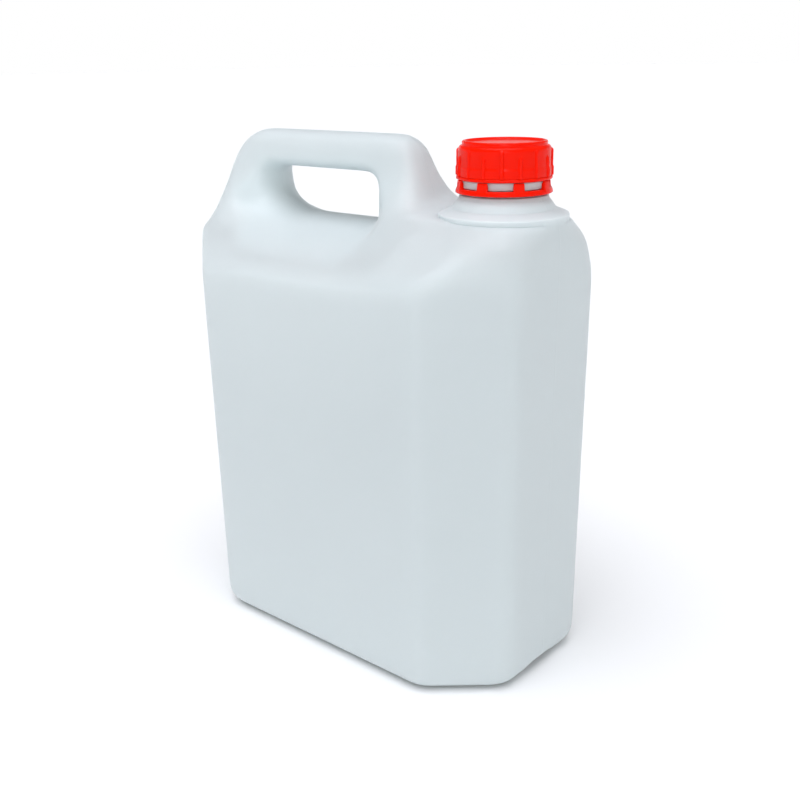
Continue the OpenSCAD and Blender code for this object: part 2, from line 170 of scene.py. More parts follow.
class CanForm:
    """The can's outline at a height z, as arrays of x and y, on a skin that lies t inside the outer one."""

    crest_soft = (6.0, 13.0)
    crest_drop = 3.0
    bend_lean = 0.74
    bend_soft = 6.0
    grip_taper = 0.1
    grip_soft = 9.0
    grip_top = 9.3
    rear_top = 25.0
    front_top = 9.0
    leg_lean = 0.4
    leg_fillet = 7.0
    leg_edge = 8.0
    rear_edge = (11.0, 9.0)
    rear_lean = 0.06
    blend = (8.0, 58.0)
    end_turn = 14.0
    corner_in = 12.5
    bulge_fade = 0.8
    arc = np.linspace(0, 1, 9)

    def __init__(self, sizes, neck, t=0.0):
        self.s = sizes
        self.t = t
        self.half_w = sizes.width / 2
        self.half_d = sizes.depth / 2
        run = math.hypot(sizes.chamfer_x, sizes.chamfer_y)
        self.nx, self.ny = sizes.chamfer_y / run, sizes.chamfer_x / run
        self.turn = math.atan2(self.ny, self.nx)
        self.c = self.nx * self.half_w + self.ny * (self.half_d - sizes.chamfer_y)
        self.plate = neck.plinth_r - 0.5
        self.end_in = max(0.5, self.half_w - NECK_X - neck.plinth_r + 0.7)
        self.lean = (self.half_d - self.plate) / (sizes.platform - sizes.crest)
        self.rear_crest = sizes.crest - self.crest_drop
        self.rear_slope = (self.half_d - sizes.bend_half) / (sizes.bend - self.rear_crest)
        self.soft = (sizes.crest - 8, sizes.platform - 11.8)
        self.grip_ref = sizes.platform + 11.7
        self.top_r = min(self.grip_top,
                         sizes.grip_d / 2 - self.grip_taper * (sizes.height - self.grip_ref) - 1)

    def foot_in(self, z):
        """Draw-in from the foot's radius and the taper of the walls."""
        down = np.clip((self.soft[0] - z) / (self.soft[0] - self.s.foot), 0, 1)
        return round_in(self.s.foot - z, self.s.foot, self.t) + self.s.taper * down

    def half_depth(self, x, z):
        """Half depth at x and z: the shoulder with its bend under the handle, eased into the straight
        shoulder under the neck, and the grip's own depth where that is more. The crest is softer
        at the rear, and the neck's shoulder bulges less towards the end."""
        s = self.s
        crisp, soft = self.crest_soft
        soft = crisp + (soft - crisp) * ease((-x - 45) / 30)
        grip = s.grip_d / 2 - self.grip_taper * (z - self.grip_ref)
        bend = s.bend_half - self.bend_lean * np.maximum(z - s.bend, -8)
        handle = larger(
            self.half_d - self.rear_slope * ramp(z - self.rear_crest, soft), bend, self.bend_soft)
        handle = larger(handle, grip, self.grip_soft)
        up = np.clip((z - s.crest) / (s.platform - s.crest), 0, 1)
        bulge = s.bulge * (1 - self.bulge_fade * ease((x - 45) / 27))
        neck = self.half_d - self.lean * ramp(z - s.crest, soft) + 4 * bulge * up * (1 - up)
        neck = larger(neck, grip, self.grip_soft)
        w = ease((x - self.blend[0]) / (self.blend[1] - self.blend[0]))
        drawn = self.foot_in(z) + round_in(z - s.height + self.top_r, self.top_r, self.t) - self.t
        return handle * (1 - w) + neck * w - drawn

    def end_x(self, z):
        """Neck end: upright, then a quarter ellipse in to the plinth."""
        q = np.clip((z - self.s.platform + self.end_turn) / self.end_turn, 0, 1)
        return self.half_w - self.foot_in(z) - self.end_in * (1 - np.sqrt(1 - q * q))

    def rear_x(self, z):
        """Rear end: upright, a slight lean above the shoulder, and the round of the handle's top corner."""
        up = np.maximum(0, z - self.s.platform + self.end_turn)
        top = round_in(z - self.s.height + self.rear_top, self.rear_top, self.t) - self.t
        return self.half_w - self.foot_in(z) - self.rear_lean * up - top

    def leg_end(self, z):
        """Neck side of the front leg: a leaning line with a fillet below and a round above."""
        d = self.s.platform + self.leg_fillet - z
        r = self.leg_fillet + self.t
        fillet = np.where(d > 0, r - np.sqrt(np.maximum(0, r * r - np.maximum(d, 0) ** 2)), 0)
        top = round_in(z - self.s.height + self.front_top, self.front_top, self.t)
        return self.s.leg_x - self.leg_lean * (z - self.s.platform) + fillet - top

    def corner(self, x, b, ra, rb, c):
        """Two arcs with the chamfer between them, or one arc where the corner has no chamfer left."""
        ay = (c - ra - self.nx * (x - ra)) / self.ny
        bx = (c - rb - self.ny * (b - rb)) / self.nx
        plain = (b - ra < ay) | (bx > x - rb)
        r1 = np.where(plain, np.minimum(ra, b - 0.4), ra)
        r2 = np.where(plain, r1, rb)
        first = self.arc * self.turn
        second = self.turn + self.arc * (math.pi / 2 - self.turn)
        x1 = x - r1 + r1 * np.cos(first)
        y1 = np.where(plain, b - r1, ay) + r1 * np.sin(first)
        x2 = np.where(plain, x - r2, bx) + r2 * np.cos(second)
        y2 = b - r2 + r2 * np.sin(second)
        return np.hstack([x1, x2]), np.hstack([y1, y2])

    def rings(self, z, on_leg):
        """Closed outlines at the heights z, as an array of rings by points by xyz: a neck-end corner, the
        wide face and a rear corner, and the same again mirrored."""
        z = np.asarray(z, float)[:, None]
        s, t = self.s, self.t
        up = ease((z - self.soft[0]) / (self.soft[1] - self.soft[0]))
        xr = self.rear_x(z)
        br = self.half_depth(-xr, z)
        high = ease((z - self.soft[1]) / (s.platform + 8 - self.soft[1]))
        wide, narrow = self.rear_edge
        rear = s.end_edge + (wide - s.end_edge) * up + (narrow - wide) * high - t
        c = self.c - self.foot_in(z)
        if on_leg:
            xf = self.leg_end(z)
            bf = self.half_depth(xf - self.leg_edge, z)
            r = np.clip(self.leg_edge - t, 0.4, bf - 0.4)
            front = self.corner(xf, bf, r, r, 1e4)
            r = np.clip(rear, 0.4, br - 0.4)
            back = self.corner(xr, br, r, r, 1e4)
            x0 = front[0][:, -1:]
        else:
            xf = self.end_x(z)
            bf = self.half_depth(self.half_w - s.chamfer_x + 0 * z, z)
            ra = s.end_edge + (self.plate - s.end_edge) * up
            rb = s.broad_edge + (ra - s.broad_edge) * up
            q = np.clip((z - s.crest + 2) / (s.platform - s.crest + 2), 0, 1)
            turned_in = c - self.corner_in * (1 - np.sqrt(1 - q * q))
            front = self.corner(xf, bf, np.minimum(ra - t, bf - 0.3), np.minimum(rb - t, bf - 0.3), turned_in)
            rb = s.broad_edge + (wide - s.broad_edge) * up + (narrow - wide) * high - t
            back = self.corner(xr, br, np.minimum(rear, br - 0.3), np.minimum(rb, br - 0.3), c)
            x0 = s.leg_x + 14 + 0 * z
        x = x0 + (-62 - x0) * np.linspace(0.02, 1, 30)
        y = self.half_depth(x, z)
        xs = np.hstack([front[0], x, -back[0][:, ::-1]])
        ys = np.hstack([front[1], y, back[1][:, ::-1]])
        zs = np.broadcast_to(z, xs.shape)
        near = np.stack([xs, ys, zs], -1)
        far = np.stack([xs, -ys, zs], -1)[:, ::-1]
        return np.concatenate([near, far], 1)

    def skin(self):
        """The whole closed skin, as one stack of rings."""
        s, t = self.s, self.t
        foot = s.foot - (s.foot - t) * np.cos(np.linspace(0, math.pi / 2, 12))
        wall = np.linspace(s.foot + 12, self.rear_crest - 8, 12)
        shoulder = np.linspace(self.rear_crest - 7, s.platform - t, 40)
        leg = np.linspace(s.platform - t + 0.5, s.height - self.rear_top, 24)
        top = s.height - self.rear_top + (self.rear_top - t) * np.sin(np.linspace(0.06, math.pi / 2, 24))
        body = np.concatenate([foot, wall, shoulder])
        return np.concatenate([self.rings(body, False), self.rings(np.concatenate([leg, top]), True)])


class HandHole:
    """The hand hole's skin: a rounded outline in the seam's plane that widens towards both faces. It
    widens as a quarter ellipse whose depth is the can's own half depth at that place, so that it
    runs out level with the wide faces."""

    x0, x1 = -75.5, 6.5
    floor = 225.0
    big_x, big_z = 26.0, 15.0
    mid_r, low_r, small_r = 12.0, 5.0, 7.0
    rear, neck, up = 17.0, 11.0, 8.0
    fall, fall_soft = 0.4, 22.0
    step = np.linspace(0, 1, 14)
    deep = 34.0
    past = 0.8
    rear_at, neck_at, up_at = (-76.0, 238.0), (12.0, 240.0), -30.0

    def __init__(self, form):
        self.form = form

    def skin(self):
        """Outlines at distances y from the seam, as rings by points by xyz."""
        t = self.form.t
        reach = self.form.half_d + 2
        half = np.concatenate([np.linspace(0, self.deep, 46), [self.deep + 8, reach]])
        y = np.concatenate([-half[:0:-1], half])[:, None]
        u = np.abs(y)
        ceiling = self.form.s.height - self.form.s.grip_h

        def flare(amount, x, z):
            b = self.form.half_depth(np.float64(x), np.float64(z)) + self.past
            q = np.clip((u + 0.8 * t) / b, 0, 1)
            return amount * (1 - np.sqrt(1 - q * q))

        x0 = self.x0 - flare(self.rear, *self.rear_at) - t
        x1 = self.x1 + flare(self.neck, *self.neck_at) + t
        z0 = self.floor - self.fall * (np.sqrt(u * u + self.fall_soft ** 2) - self.fall_soft) - t
        z1 = ceiling + flare(self.up, self.up_at, ceiling + 3) + t
        bx = self.big_x + (self.x0 - x0) / 2 + t
        bz = self.big_z + t
        a = self.step * math.pi / 2
        parts = [
            (x1 - self.mid_r - t, z1 - self.mid_r - t, self.mid_r + t, self.mid_r + t, a),
            (x0 + self.small_r + t, z1 - self.small_r - t, self.small_r + t, self.small_r + t, a + math.pi / 2),
            (x0 + bx, z0 + bz, bx, bz, a + math.pi),
            (x1 - self.low_r - t, z0 + self.low_r + t, self.low_r + t, self.low_r + t, a + 1.5 * math.pi),
        ]
        xs = np.hstack([cx + rx * np.cos(b) for cx, cz, rx, rz, b in parts])
        zs = np.hstack([cz + rz * np.sin(b) for cx, cz, rx, rz, b in parts])
        return np.stack([xs, np.broadcast_to(y, xs.shape), zs], -1)[:, ::-1]


def turned(r, z, around, out=None):
    """A profile of radii r and heights z carried round the neck's axis in that many steps. out, where
    given, is a function of angle, radius and height that returns the new radius and height."""
    a = np.arange(around)[None, :] * TURN / around
    r = np.asarray(r, float)[:, None] + 0 * a
    z = np.asarray(z, float)[:, None] + 0 * a
    if out is not None:
        r, z = out(a, r, z)
    return np.stack([NECK_X + r * np.cos(a), r * np.sin(a), z], -1)


def rounded(points, radius, steps):
    """A closed profile with every corner rounded: each corner becomes a short curve of the two
    neighbouring edges' points, at most radius away from it."""
    p = np.asarray(points, float)
    before = np.roll(p, 1, 0) - p
    after = np.roll(p, -1, 0) - p
    lb = np.linalg.norm(before, axis=1, keepdims=True)
    la = np.linalg.norm(after, axis=1, keepdims=True)
    cut = np.minimum(radius, 0.45 * np.minimum(lb, la))
    a = p + before / lb * cut
    b = p + after / la * cut
    s = np.linspace(0, 1, steps)[None, :, None]
    curve = (1 - s) ** 2 * a[:, None] + 2 * s * (1 - s) * p[:, None] + s ** 2 * b[:, None]
    return curve.reshape(-1, 2)


def closed_mesh(name, points, ends):
    """A mesh on a grid of rings. Every ring closes on itself. The first and last rings are joined for a
    ring-shaped piece, or closed flat: "ladder" pairs mirrored points, "fan" is one polygon."""
    m, n = points.shape[:2]
    rows = m if ends == "loop" else m - 1
    i = np.arange(rows)[:, None]
    j = np.arange(n)[None, :]
    up, right = (i + 1) % m, (j + 1) % n
    quads = np.stack([i * n + j, i * n + right, up * n + right, up * n + j], -1).reshape(-1, 4).tolist()
    top = (m - 1) * n
    if ends == "ladder":
        k = np.arange(n // 2 - 1)
        low = np.stack([k, n - 1 - k, n - 2 - k, k + 1], -1)
        high = top + np.stack([k, k + 1, n - 2 - k, n - 1 - k], -1)
        quads += low.tolist() + high.tolist()
    if ends == "fan":
        quads += [list(range(n - 1, -1, -1)), list(range(top, top + n))]
    mesh = bpy.data.meshes.new(name)
    mesh.from_pydata((points.reshape(-1, 3) * MM).tolist(), [], quads)
    mesh.validate()
    return mesh


def place(name, mesh):
    """A new object at the origin."""
    piece = bpy.data.objects.new(name, mesh)
    bpy.context.scene.collection.objects.link(piece)
    return piece


def settle(piece):
    """Replaces the piece's mesh with the result of its modifiers."""
    graph = bpy.context.evaluated_depsgraph_get()
    mesh = bpy.data.meshes.new_from_object(piece.evaluated_get(graph))
    piece.modifiers.clear()
    piece.data = mesh


def combine(piece, tool_mesh, operation):
    """Adds a closed mesh to the piece or takes it away."""
    tool = place("tool", tool_mesh)
    step = piece.modifiers.new("combine", "BOOLEAN")
    step.operation = operation
    step.solver = "MANIFOLD"
    step.object = tool
    settle(piece)
    bpy.data.objects.remove(tool)
    if not piece.data.polygons:
        raise RuntimeError(f"{operation} left nothing of {piece.name}")


def soften(piece, rounds, weight):
    """Moves each vertex halfway to the mean of its neighbours, rounds times. weight is a function of the
    vertices in millimetres that gives 0 to 1."""
    mesh = piece.data
    co = np.empty(len(mesh.vertices) * 3)
    mesh.vertices.foreach_get("co", co)
    co = co.reshape(-1, 3)
    ends = np.empty(len(mesh.edges) * 2, int)
    mesh.edges.foreach_get("vertices", ends)
    a, b = ends.reshape(-1, 2).T
    count = np.bincount(a, minlength=len(co)) + np.bincount(b, minlength=len(co))
    share = 0.5 * weight(co / MM)[:, None]
    for _ in range(rounds):
        total = np.stack([
            np.bincount(a, co[b, k], len(co)) + np.bincount(b, co[a, k], len(co)) for k in range(3)], -1)
        co = co + share * (total / count[:, None] - co)
    mesh.vertices.foreach_set("co", co.ravel())
    mesh.update()


def smooth_shade(mesh, angle):
    """Smooth shading, with edges sharper than angle in degrees kept."""
    mesh.shade_smooth()
    mesh.set_sharp_from_angle(angle=math.radians(angle))


class Wire:
    """A socket in a material, with the arithmetic that the mouldings' patterns need."""

    def __init__(self, tree, socket):
        self.tree = tree
        self.socket = socket

    def math(self, operation, *others):
        return add_node(self.tree, "ShaderNodeMath", {"operation": operation}, [self, *others])

    def __add__(self, other):
        return self.math("ADD", other)

    def __mul__(self, other):
        return self.math("MULTIPLY", other)

    def __rsub__(self, other):
        return add_node(self.tree, "ShaderNodeMath", {"operation": "SUBTRACT"}, [other, self])


def add_node(tree, kind, settings=None, inputs=(), output=0):
    """Adds a node: its settings first, then its sockets by place or by name. Returns one output."""
    node = tree.nodes.new(kind)
    for key, value in (settings or {}).items():
        setattr(node, key, value)
    pairs = inputs.items() if isinstance(inputs, dict) else enumerate(inputs)
    for key, value in pairs:
        if isinstance(value, Wire):
            tree.links.new(value.socket, node.inputs[key])
        else:
            node.inputs[key].default_value = value
    return Wire(tree, node.outputs[output])


def new_material(name, fixed):
    """A material with one Principled shader whose constant sockets are set here."""
    material = bpy.data.materials.new(name)
    material.use_nodes = True
    shader = material.node_tree.nodes["Principled BSDF"]
    for key, value in fixed.items():
        shader.inputs[key].default_value = value
    return material, material.node_tree, shader


def object_place(tree):
    """Object coordinates."""
    return add_node(tree, "ShaderNodeTexCoord", output="Object")


def smooth_range(tree, value, low, high, top):
    """Rises smoothly from 0 to top while value goes from low to high."""
    return add_node(
        tree, "ShaderNodeMapRange", {"interpolation_type": "SMOOTHSTEP"},
        {"Value": value, "From Min": low, "From Max": high, "To Min": 0.0, "To Max": top})


def noise(tree, where, scale, detail=2.0):
    """Noise of that many features a metre."""
    return add_node(
        tree, "ShaderNodeTexNoise", {}, {"Vector": where, "Scale": scale, "Detail": detail}, "Fac")


def bump(tree, shader, height, distance, strength):
    """Feeds a height into the shader's normal."""
    out = add_node(tree, "ShaderNodeBump", {}, {"Height": height, "Distance": distance, "Strength": strength})
    tree.links.new(out.socket, shader.inputs["Normal"])


def feed(tree, shader, socket, wire):
    """Links a value that varies over the surface to a socket of the shader."""
    tree.links.new(wire.socket, shader.inputs[socket])


def can_plastic(colour):
    """Milky polyethylene: light goes a little way in, the skin is satin with a faint unevenness, and a
    fine ridge marks the mould's parting line in the plane y = 0."""
    material, tree, shader = new_material("can_polyethylene", {
        "Subsurface Weight": 0.7, "Subsurface Scale": 0.008, "Subsurface Radius": (1.0, 1.0, 1.0),
        "IOR": 1.5, "Specular IOR Level": 0.3})
    where = object_place(tree)
    cloud = noise(tree, where, 14.0, 3.0)
    light = tuple(min(1.0, 1.03 * c) for c in colour) + (1,)
    base = add_node(
        tree, "ShaderNodeMix", {"data_type": "RGBA"},
        {"Factor": cloud, "A": (*colour, 1), "B": light}, 2)
    feed(tree, shader, "Base Color", base)
    feed(tree, shader, "Roughness", noise(tree, where, 60.0) * 0.08 + 0.36)
    away = add_node(tree, "ShaderNodeSeparateXYZ", {}, [where], "Y").math("ABSOLUTE")
    seam = 1 - smooth_range(tree, away, 0.0002, 0.0006, 1.0)
    grain = noise(tree, where, 900.0, 1.0) * 0.03 + noise(tree, where, 90.0, 1.0) * 0.25
    bump(tree, shader, grain + seam * 0.35, 0.00035, 0.6)
    return material


def cap_plastic(colour):
    """Glossy red polypropylene with a very slight sink."""
    material, tree, shader = new_material("cap_polypropylene", {
        "Base Color": (*colour, 1), "Subsurface Weight": 0.25, "Subsurface Scale": 0.0015,
        "Subsurface Radius": (1.0, 0.2, 0.1), "IOR": 1.49, "Specular IOR Level": 0.1})
    where = object_place(tree)
    feed(tree, shader, "Roughness", noise(tree, where, 240.0) * 0.08 + 0.2)
    bump(tree, shader, noise(tree, where, 320.0, 1.0), 0.0001, 0.5)
    return material


def wad_foam(colour):
    """White foamed polyethylene."""
    material, tree, shader = new_material("wad_foam", {"Base Color": (*colour, 1), "IOR": 1.45})
    where = object_place(tree)
    feed(tree, shader, "Roughness", noise(tree, where, 600.0) * 0.1 + 0.6)
    bump(tree, shader, noise(tree, where, 1800.0, 2.0), 0.00015, 0.6)
    return material


def floor_paper(colour):
    """Plain pale paper."""
    material, tree, shader = new_material(
        "floor_paper", {"Base Color": (*colour, 1), "Specular IOR Level": 0.1})
    feed(tree, shader, "Roughness", noise(tree, object_place(tree), 40.0) * 0.05 + 0.85)
    return material


def thread_bump(a, z, start, end, pitch, width):
    """A helical ridge from 0 to 1: the distance of height z from the nearest turn of a helix about the
    neck, as a raised cosine of that width, faded in and out at the first and last turn."""
    turn = (z - start) / pitch - a / TURN
    off = (turn - np.round(turn)) * pitch
    ridge = np.clip(1.6 * (0.5 + 0.5 * np.cos(np.clip(off / width, -1, 1) * math.pi)), 0, 1)
    along = np.round(turn) + a / TURN
    last = (end - start) / pitch
    return ridge * ease(along / 0.25 + 0.4) * ease((last - along) / 0.25 + 0.4)


def neck_levels(can, neck):
    """Heights of the plinth, step, collar, neck and lip."""
    plinth = can.platform + neck.plinth_h
    step = plinth + neck.rise
    collar = step + neck.step_h
    foot = collar + neck.collar_h
    return plinth, step, collar, foot, foot + neck.neck_h


class JERRYCAN_OT_can(bpy.types.Operator):
    """Makes the moulded can: a stack of outlines less the hand hole and the foot channel, softened, with
    the turned neck added and the inside taken out"""

    bl_idname = "jerrycan.make_can"
    bl_label = "Can"
    voxel = 2.0
    even_rounds, handle_rounds, crease_rounds = 3, 11, 24
    bead_up = 3.4
    thread_up, thread_down, thread_w = 8.4, 2.6, 1.25

    def channel(self, sizes, t):
        """Prism along X with an S-shaped flank on either side."""
        w = sizes.channel_w / 2 + t
        y = np.linspace(-w, w, 49)
        z = t + sizes.channel_h * ease(1.6 * (1 - np.abs(y) / w))
        profile = np.vstack([np.stack([y, z], -1), [[w, -2.0], [-w, -2.0]]])
        x = np.linspace(-sizes.width / 2 - 2, sizes.width / 2 + 2, 3)[:, None]
        return np.stack([np.broadcast_to(x, (3, len(profile))),
                         np.broadcast_to(profile[:, 0], (3, len(profile))),
                         np.broadcast_to(profile[:, 1], (3, len(profile)))], -1)[:, ::-1]

    def crease(self, co, sizes):
        """1 where the hand hole's floor runs out beside the front leg, and high on the neck end's corners."""
        x, y, z = co.T
        foot = ease((z - sizes.crest) / 6) * ease((sizes.platform + 2 - z) / 6)
        foot = foot * ease((np.abs(y) - 14) / 6) * ease((x + 35) / 12) * ease((40 - x) / 12)
        end = ease((x - 80) / 16) * ease((z - sizes.crest) / 8) * ease((sizes.platform - 2 - z) / 4)
        return np.maximum(foot, end)

    def volume(self, sizes, neck, t):
        """The closed volume inside the skin that lies t inside the outer one."""
        form = CanForm(sizes, neck, t)
        piece = place("can_shell", closed_mesh("can_shell", form.skin(), "ladder"))
        combine(piece, closed_mesh("hole", HandHole(form).skin(), "fan"), "DIFFERENCE")
        combine(piece, closed_mesh("channel", self.channel(sizes, t), "fan"), "DIFFERENCE")
        return piece

    def neck_solid(self, sizes, neck):
        """Plinth, step, collar, threaded neck and lip as a solid turned form."""
        plinth, step, collar, foot, lip = neck_levels(sizes, neck)
        run = np.linspace(foot + 8.2, lip - 1.2, 70)
        bead = foot + self.bead_up
        bead_top = float(CAP_LOW[2]) - 0.4
        below = rounded([
            (neck.plinth_r, sizes.platform - 3), (neck.plinth_r, plinth), (neck.step_r + 0.3, step),
            (neck.step_r - 1.4, collar - 1.8), (neck.collar_r + 0.4, collar + 0.2), (neck.collar_r, foot),
            (neck.neck_r, foot), (neck.neck_r, bead), (neck.bead_r, bead), (neck.bead_r, bead_top),
            (neck.neck_r, bead_top + 0.8)], 0.5, 5)[3:]
        r = np.concatenate([below[:, 0], np.full(len(run), neck.neck_r), neck.neck_r - np.array([0, 0.15, 0.5, 0.9])])
        z = np.concatenate([below[:, 1], run, lip - np.array([0.5, 0.15, 0.02, 0.0])])

        def out(a, r, z):
            ridge = thread_bump(
                a, z, foot + self.thread_up, lip - self.thread_down, neck.pitch, self.thread_w)
            on = (z > run[0]) & (z < run[-1])
            return r + np.where(on, (neck.crest_r - neck.neck_r) * ridge, 0), z

        return closed_mesh("neck", turned(r, z, 180, out), "fan")

    def execute(self, context):
        sizes, neck = context.scene.can_sizes, context.scene.neck_sizes
        piece = self.volume(sizes, neck, 0.0)
        remesh = piece.modifiers.new("even", "REMESH")
        remesh.mode = "VOXEL"
        remesh.voxel_size = self.voxel * MM
        settle(piece)
        soften(piece, self.even_rounds, lambda co: np.ones(len(co)))
        upper = sizes.crest + 6
        soften(piece, self.handle_rounds,
               lambda co: ease((co[:, 2] - upper) / 8) * ease((46 - co[:, 0]) / 8))
        soften(piece, self.crease_rounds, lambda co: self.crease(co, sizes))
        combine(piece, self.neck_solid(sizes, neck), "UNION")
        inside = self.volume(sizes, neck, 2 * sizes.wall)
        combine(piece, inside.data, "DIFFERENCE")
        bpy.data.objects.remove(inside)
        levels = neck_levels(sizes, neck)
        collar, lip = levels[2], levels[4]
        bore = neck.neck_r - neck.neck_wall
        r = [bore + 6, bore + 6, bore, bore]
        z = [sizes.platform - 7, sizes.platform + 1, collar + 1, lip + 1]
        combine(piece, closed_mesh("bore", turned(r, z, 120), "fan"), "DIFFERENCE")
        piece.name = "can_moulding"
        smooth_shade(piece.data, 40)
        piece.data.materials.clear()
        piece.data.materials.append(can_plastic(context.scene.finishes.can))
        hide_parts("can_body")
        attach(piece, "can")
        return {"FINISHED"}


class JERRYCAN_OT_cap(bpy.types.Operator):
    """Makes the screw cap: a profile turned about the neck, its skirt pushed out along each rib, with a
    helical ridge in its bore"""

    bl_idname = "jerrycan.make_cap"
    bl_label = "Cap"
    around = 720
    plate_down = 2.5
    shoulder_h = 2.4
    face_in, foot_out = 0.25, 0.1
    ring_out = 0.6
    ledge_up = 5.2
    rib_edge = 0.25
    thread_depth, thread_w = 0.8, 1.1

    def execute(self, context):
        sizes, can, neck = context.scene.cap_sizes, context.scene.can_sizes, context.scene.neck_sizes
        foot = neck_levels(can, neck)[3]
        low = float(CAP_LOW[2])
        top = float(CAP_HIGH[2])
        plate = top - self.plate_down
        cove = top - sizes.rim_h
        shoulder = cove - self.shoulder_h
        bore = sizes.cap_r - sizes.skirt
        pocket = sizes.rim_r - 1.4
        outer = [
            (0.02, plate), (pocket, plate), (pocket, shoulder + 0.5), (bore, shoulder - 1)]
        inner_run = [(bore, h) for h in np.linspace(shoulder - 1.2, low + 0.5, 60)]
        skirt = [
            (bore + 0.1, low), (sizes.cap_r + 0.3, low), (sizes.cap_r + self.ring_out, low + 0.3),
            (sizes.cap_r + self.ring_out, low + 1.1), (sizes.cap_r + 0.3, low + 1.4),
            (sizes.cap_r - 0.3, low + 1.45)]
        lower = [(sizes.cap_r + self.foot_out, h) for h in np.linspace(low + 1.6, low + self.ledge_up, 14)]
        face = [(sizes.cap_r - self.face_in, h)
                for h in np.linspace(low + self.ledge_up + 0.8, shoulder, 20)]
        a = np.linspace(0.1, math.pi / 2, 14)
        cove_arc = list(zip(sizes.rim_r + (sizes.cap_r - self.face_in - sizes.rim_r) * np.cos(a) ** 0.8,
                            shoulder + (cove - shoulder) * np.sin(a)))
        rim = [
            (sizes.rim_r, cove + 0.3), (sizes.rim_r, top - 0.6), (sizes.rim_r - 0.15, top - 0.25),
            (sizes.rim_r - 0.5, top), (sizes.rim_r - 1.1, top), (sizes.rim_r - 1.5, top - 0.25),
            (sizes.rim_r - 2.0, plate + 1.6), (sizes.rim_r - 2.5, plate + 1.5), (0.02, plate + 1.5)]
        points = outer + inner_run + skirt + lower + face + cove_arc + rim
        profile = np.array(points)
        inside = np.zeros(len(profile), bool)
        inside[len(outer):len(outer) + len(inner_run)] = True
        start = len(outer) + len(inner_run) + 5
        ribbed = np.zeros(len(profile), bool)
        ribbed[start:start + len(lower) + len(face) + 10] = True
        phase = math.radians(sizes.rib_turn)
        width = sizes.rib_w / 2

        def out(angle, r, z):
            step = TURN / (2 * sizes.ribs)
            turn = (angle - phase) / step
            near = np.round(turn)
            across = np.abs(turn - near) * step * sizes.cap_r
            long_rib = (near % 2) == 0
            end = np.where(long_rib, shoulder + 0.8, shoulder - sizes.rib_drop)
            side = np.sqrt(np.clip(1 - (across / (width + self.rib_edge)) ** 2, 0, 1))
            tip = np.sqrt(np.clip((end + 0.3 - z) / 1.1, 0, 1))
            r = r + np.where(ribbed[:, None], side * tip * sizes.rib_out, 0)
            ridge = thread_bump(angle, z, foot + 10.4, shoulder - 3.0, neck.pitch, self.thread_w)
            return r - np.where(inside[:, None], self.thread_depth * ridge, 0), z

        mesh = closed_mesh("cap", turned(profile[:, 0], profile[:, 1], self.around, out), "loop")
        piece = place("screw_cap", mesh)
        smooth_shade(piece.data, 50)
        piece.data.materials.append(cap_plastic(context.scene.finishes.cap))
        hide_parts("cap")
        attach(piece, "cap")
        return {"FINISHED"}


class JERRYCAN_OT_band(bpy.types.Operator):
    """Makes the tamper band: a profile turned about the neck, whose upper edge rises to a pillar between
    every two windows"""

    bl_idname = "jerrycan.make_band"
    bl_label = "Tamper band"
    around = 900
    low_up, sill_up, gap = 1.0, 2.3, 0.3
    catch_up = 2.2
    lip_h = 0.45

    def execute(self, context):
        sizes, can, neck = context.scene.cap_sizes, context.scene.can_sizes, context.scene.neck_sizes
        foot = neck_levels(can, neck)[3]
        low = foot + self.low_up
        sill = low + self.sill_up
        high = float(CAP_LOW[2]) - self.gap
        r1 = sizes.band_r
        r0 = r1 - sizes.band_t
        catch = foot + self.catch_up
        profile = rounded([
            (r0, low), (r1, low), (r1, low + 0.8), (r1 - 0.6, sill), (r0 - 0.4, sill),
            (r0 - 0.5, catch + 1.0), (neck.neck_r + 0.6, catch + 1.0), (neck.neck_r + 0.6, catch + 0.5),
            (r0 - 0.3, catch - 0.2)], 0.35, 5)
        phase = math.radians(sizes.band_turn)
        half = math.radians(sizes.pillar / 2)

        def out(angle, r, z):
            step = TURN / sizes.ribs
            turn = (angle - phase) / step - 0.5
            across = np.abs(turn - np.round(turn)) * step
            up = 1 - ease((across - half + 0.004) / 0.012)
            raised = np.clip((z - (sill - self.lip_h)) / self.lip_h, 0, 1)
            return r, z + up * raised * (high - sill)

        mesh = closed_mesh("band", turned(profile[:, 0], profile[:, 1], self.around, out), "loop")
        piece = place("tamper_ring", mesh)
        smooth_shade(piece.data, 50)
        piece.data.materials.append(cap_plastic(context.scene.finishes.cap))
        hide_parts("tamper_band")
        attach(piece, "can")
        return {"FINISHED"}


class JERRYCAN_OT_wad(bpy.types.Operator):
    """Gives the foam wad its finish"""

    bl_idname = "jerrycan.finish_wad"
    bl_label = "Wad"

    def execute(self, context):
        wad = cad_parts["seal_liner"]
        foam = wad_foam(context.scene.finishes.wad)
        for slot in wad.material_slots:
            slot.material = foam
        return {"FINISHED"}


